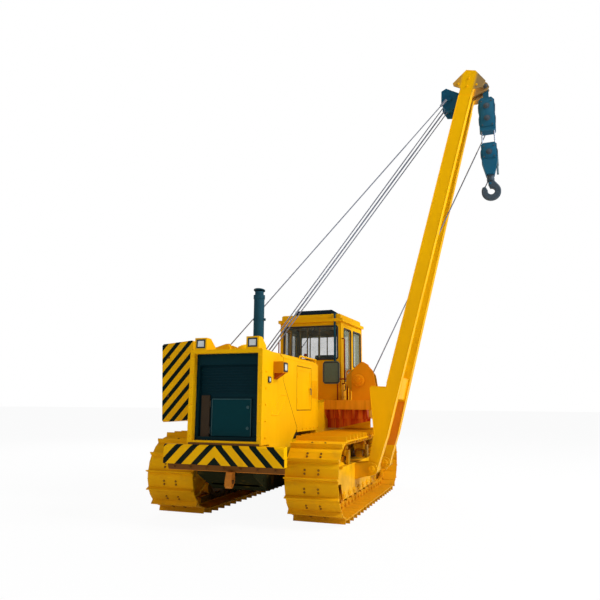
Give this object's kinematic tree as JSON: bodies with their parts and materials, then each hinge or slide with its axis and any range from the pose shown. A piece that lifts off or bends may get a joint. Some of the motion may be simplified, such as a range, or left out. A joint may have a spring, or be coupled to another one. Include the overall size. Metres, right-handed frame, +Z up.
{
  "type": "crawler pipelayer",
  "caption": "Crawler tractor with a tall A-frame side boom, rope tackle and hook, swing-out counterweight, hooded engine and glazed cab on steel tracks.",
  "frame": {"origin": "on the ground, midway between the tracks and midway along the length of track that lies on the ground", "axes": "+X forward, +Y to the machine's left, the boom's side, +Z up"},
  "size_m": [5.41, 5.6969, 7.6615],
  "materials": {
    "yellow_paint": "glossy enamel",
    "dark_paint": "satin dark teal enamel",
    "bare_steel": "worn steel",
    "wire_rope": "greased wire rope",
    "cab_glass": "tinted safety glass",
    "black_plastic": "satin black",
    "engine_paint": "dark engine paint",
    "cylinder_rod": "polished chrome",
    "seat_cloth": "black cloth",
    "hook_paint": "dark grey enamel"
  },
  "bodies": {
    "tractor": {"track_left": "bare_steel", "track_right": "bare_steel", "idlers": "yellow_paint", "sprockets": "yellow_paint", "final_drives": "yellow_paint", "track_frame_left": "yellow_paint", "track_frame_right": "yellow_paint", "track_rollers": "bare_steel", "main_frame": "yellow_paint", "frame_cross_members": "yellow_paint", "engine_block": "engine_paint", "drawbar_hitch": "yellow_paint", "hood": "yellow_paint", "radiator_guard": "yellow_paint", "radiator_grille": "dark_paint", "bumper_beam": "yellow_paint", "exhaust_stack": "dark_paint", "work_lamps": "yellow_paint", "cab_platform": "yellow_paint", "cab_shell": "yellow_paint", "cab_glass": "cab_glass", "cab_roof": "yellow_paint", "roof_unit": "dark_paint", "operator_seat": "seat_cloth", "control_stands": "black_plastic", "cab_mirror": "black_plastic", "left_deck": "yellow_paint", "right_deck": "yellow_paint", "fuel_tank": "yellow_paint", "load_winch_frame": "yellow_paint", "right_frame": "yellow_paint"},
    "cab_door_left": {"cab_door_left": "yellow_paint", "cab_door_left_glass": "cab_glass"},
    "cab_door_right": {"cab_door_right": "yellow_paint", "cab_door_right_glass": "cab_glass"},
    "engine_door_left": {"engine_door_left": "yellow_paint"},
    "engine_door_right": {"engine_door_right": "yellow_paint"},
    "load_drum": {"load_winch_drum": "wire_rope"},
    "boom_drum": {"boom_winch_drum": "wire_rope"},
    "counterweight_lever": {"counterweight_levers": "yellow_paint"},
    "counterweight_link": {"counterweight_links": "yellow_paint"},
    "counterweight": {"counterweight": "yellow_paint"},
    "cylinder_barrel": {"counterweight_cylinder": "yellow_paint"},
    "cylinder_rod": {"counterweight_rod": "cylinder_rod"},
    "boom": {"boom_front_leg": "yellow_paint", "boom_rear_leg": "yellow_paint", "boom_cross_tie": "yellow_paint", "boom_head": "yellow_paint", "boom_tip_block": "dark_paint"},
    "falls_upper": {"boom_falls_upper": "wire_rope"},
    "falls_lower": {"boom_falls_lower": "wire_rope", "boom_lower_block": "dark_paint"},
    "lead_lower": {"boom_lead_lower": "wire_rope"},
    "lead_upper": {"boom_lead_upper": "wire_rope"},
    "load_lower": {"load_line_lower": "wire_rope"},
    "load_upper": {"load_line_upper": "wire_rope"},
    "hook_tackle": {"hook_upper_block": "dark_paint", "hook_falls": "wire_rope", "hook_lower_block": "dark_paint"},
    "hook": {"load_hook": "hook_paint"}
  },
  "joints": [
    {"name": "boom_lean", "type": "hinge", "parent": "tractor", "child": "boom", "pos_m": [-0.31, 1.53, 0.62], "axis": [-1, 0, 0], "range_deg": [-7, 57]},
    {"name": "hook_swing", "type": "hinge", "parent": "boom", "child": "hook_tackle", "pos_m": [-0.31, 3.62, 7.4], "axis": [1, 0, 0], "range_deg": [-8, 62]},
    {"name": "hook_swivel", "type": "hinge", "parent": "hook_tackle", "child": "hook", "pos_m": [-0.31, 3.62, 5.6], "axis": [0, 0, 1], "continuous": true},
    {"name": "falls_swing", "type": "hinge", "parent": "boom", "child": "falls_upper", "pos_m": [-0.31, 2.97616, 7.20919], "axis": [-1, 0, 0], "range_deg": [-8.66, 1.15]},
    {"name": "falls_run", "type": "slide", "parent": "falls_upper", "child": "falls_lower", "axis": [0, -0.6185, -0.7858], "range_m": [-0.326, 2.627]},
    {"name": "lead_swing", "type": "hinge", "parent": "tractor", "child": "lead_lower", "pos_m": [-0.06, -1.28, 2.62], "axis": [-1, 0, 0], "range_deg": [-5.64, 45.2]},
    {"name": "lead_run", "type": "slide", "parent": "lead_lower", "child": "lead_upper", "axis": [0, 0.6939, 0.7201], "range_m": [-0.369, 2.976]},
    {"name": "load_line_swing", "type": "hinge", "parent": "tractor", "child": "load_lower", "pos_m": [-0.46, 1.14, 2.08], "axis": [-1, 0, 0], "range_deg": [-8.01, 64.48]},
    {"name": "load_line_run", "type": "slide", "parent": "load_lower", "child": "load_upper", "axis": [0, 0.4478, 0.8941], "range_m": [-0.213, 1.706]},
    {"name": "load_winch_spin", "type": "hinge", "parent": "tractor", "child": "load_drum", "pos_m": [-0.7, 1.14, 2.08], "axis": [1, 0, 0], "continuous": true},
    {"name": "boom_winch_spin", "type": "hinge", "parent": "tractor", "child": "boom_drum", "pos_m": [0.1, -0.84, 2.02], "axis": [1, 0, 0], "continuous": true},
    {"name": "counterweight_swing", "type": "hinge", "parent": "tractor", "child": "counterweight_lever", "pos_m": [-0.25, -1.08, 1.56], "axis": [1, 0, 0], "range_deg": [0, 80]},
    {"name": "counterweight_link_swing", "type": "hinge", "parent": "tractor", "child": "counterweight_link", "pos_m": [-0.25, -0.86, 1.84], "axis": [1, 0, 0], "range_deg": [0, 80]},
    {"name": "counterweight_level", "type": "hinge", "parent": "counterweight_lever", "child": "counterweight", "pos_m": [-0.25, -1.3, 2.38104], "axis": [-1, 0, 0], "range_deg": [0, 80]},
    {"name": "cylinder_swing", "type": "hinge", "parent": "tractor", "child": "cylinder_barrel", "pos_m": [-0.31, -0.62, 1.6], "axis": [1, 0, 0], "range_deg": [0, 33.86]},
    {"name": "cylinder_stroke", "type": "slide", "parent": "cylinder_barrel", "child": "cylinder_rod", "axis": [0, -0.8165, 0.5774], "range_m": [0, 0.288]},
    {"name": "cab_door_left_swing", "type": "hinge", "parent": "tractor", "child": "cab_door_left", "pos_m": [-1.705, 0.701, 2.5], "axis": [0, 0, 1], "range_deg": [0, 95]},
    {"name": "cab_door_right_swing", "type": "hinge", "parent": "tractor", "child": "cab_door_right", "pos_m": [-1.705, -0.701, 2.5], "axis": [0, 0, -1], "range_deg": [0, 95]},
    {"name": "engine_door_left_swing", "type": "hinge", "parent": "tractor", "child": "engine_door_left", "pos_m": [1.315, 0.553, 1.9], "axis": [0, 0, -1], "range_deg": [0, 100]},
    {"name": "engine_door_right_swing", "type": "hinge", "parent": "tractor", "child": "engine_door_right", "pos_m": [1.315, -0.553, 1.9], "axis": [0, 0, 1], "range_deg": [0, 100]}
  ],
  "couplings": [
    {"joint": "falls_swing", "follows": "boom_lean", "ratio": -0.15015},
    {"joint": "falls_run", "follows": "boom_lean", "m_per_rad": 2.6365},
    {"joint": "lead_swing", "follows": "boom_lean", "ratio": 0.7913},
    {"joint": "lead_run", "follows": "boom_lean", "m_per_rad": 2.9873},
    {"joint": "load_line_swing", "follows": "boom_lean", "ratio": 1.1295},
    {"joint": "load_line_run", "follows": "boom_lean", "m_per_rad": 1.7112},
    {"joint": "counterweight_link_swing", "follows": "counterweight_swing", "ratio": 1},
    {"joint": "counterweight_level", "follows": "counterweight_swing", "ratio": 1},
    {"joint": "cylinder_swing", "follows": "counterweight_swing", "ratio": 0.42195},
    {"joint": "cylinder_stroke", "follows": "counterweight_swing", "m_per_rad": 0.20334}
  ]
}
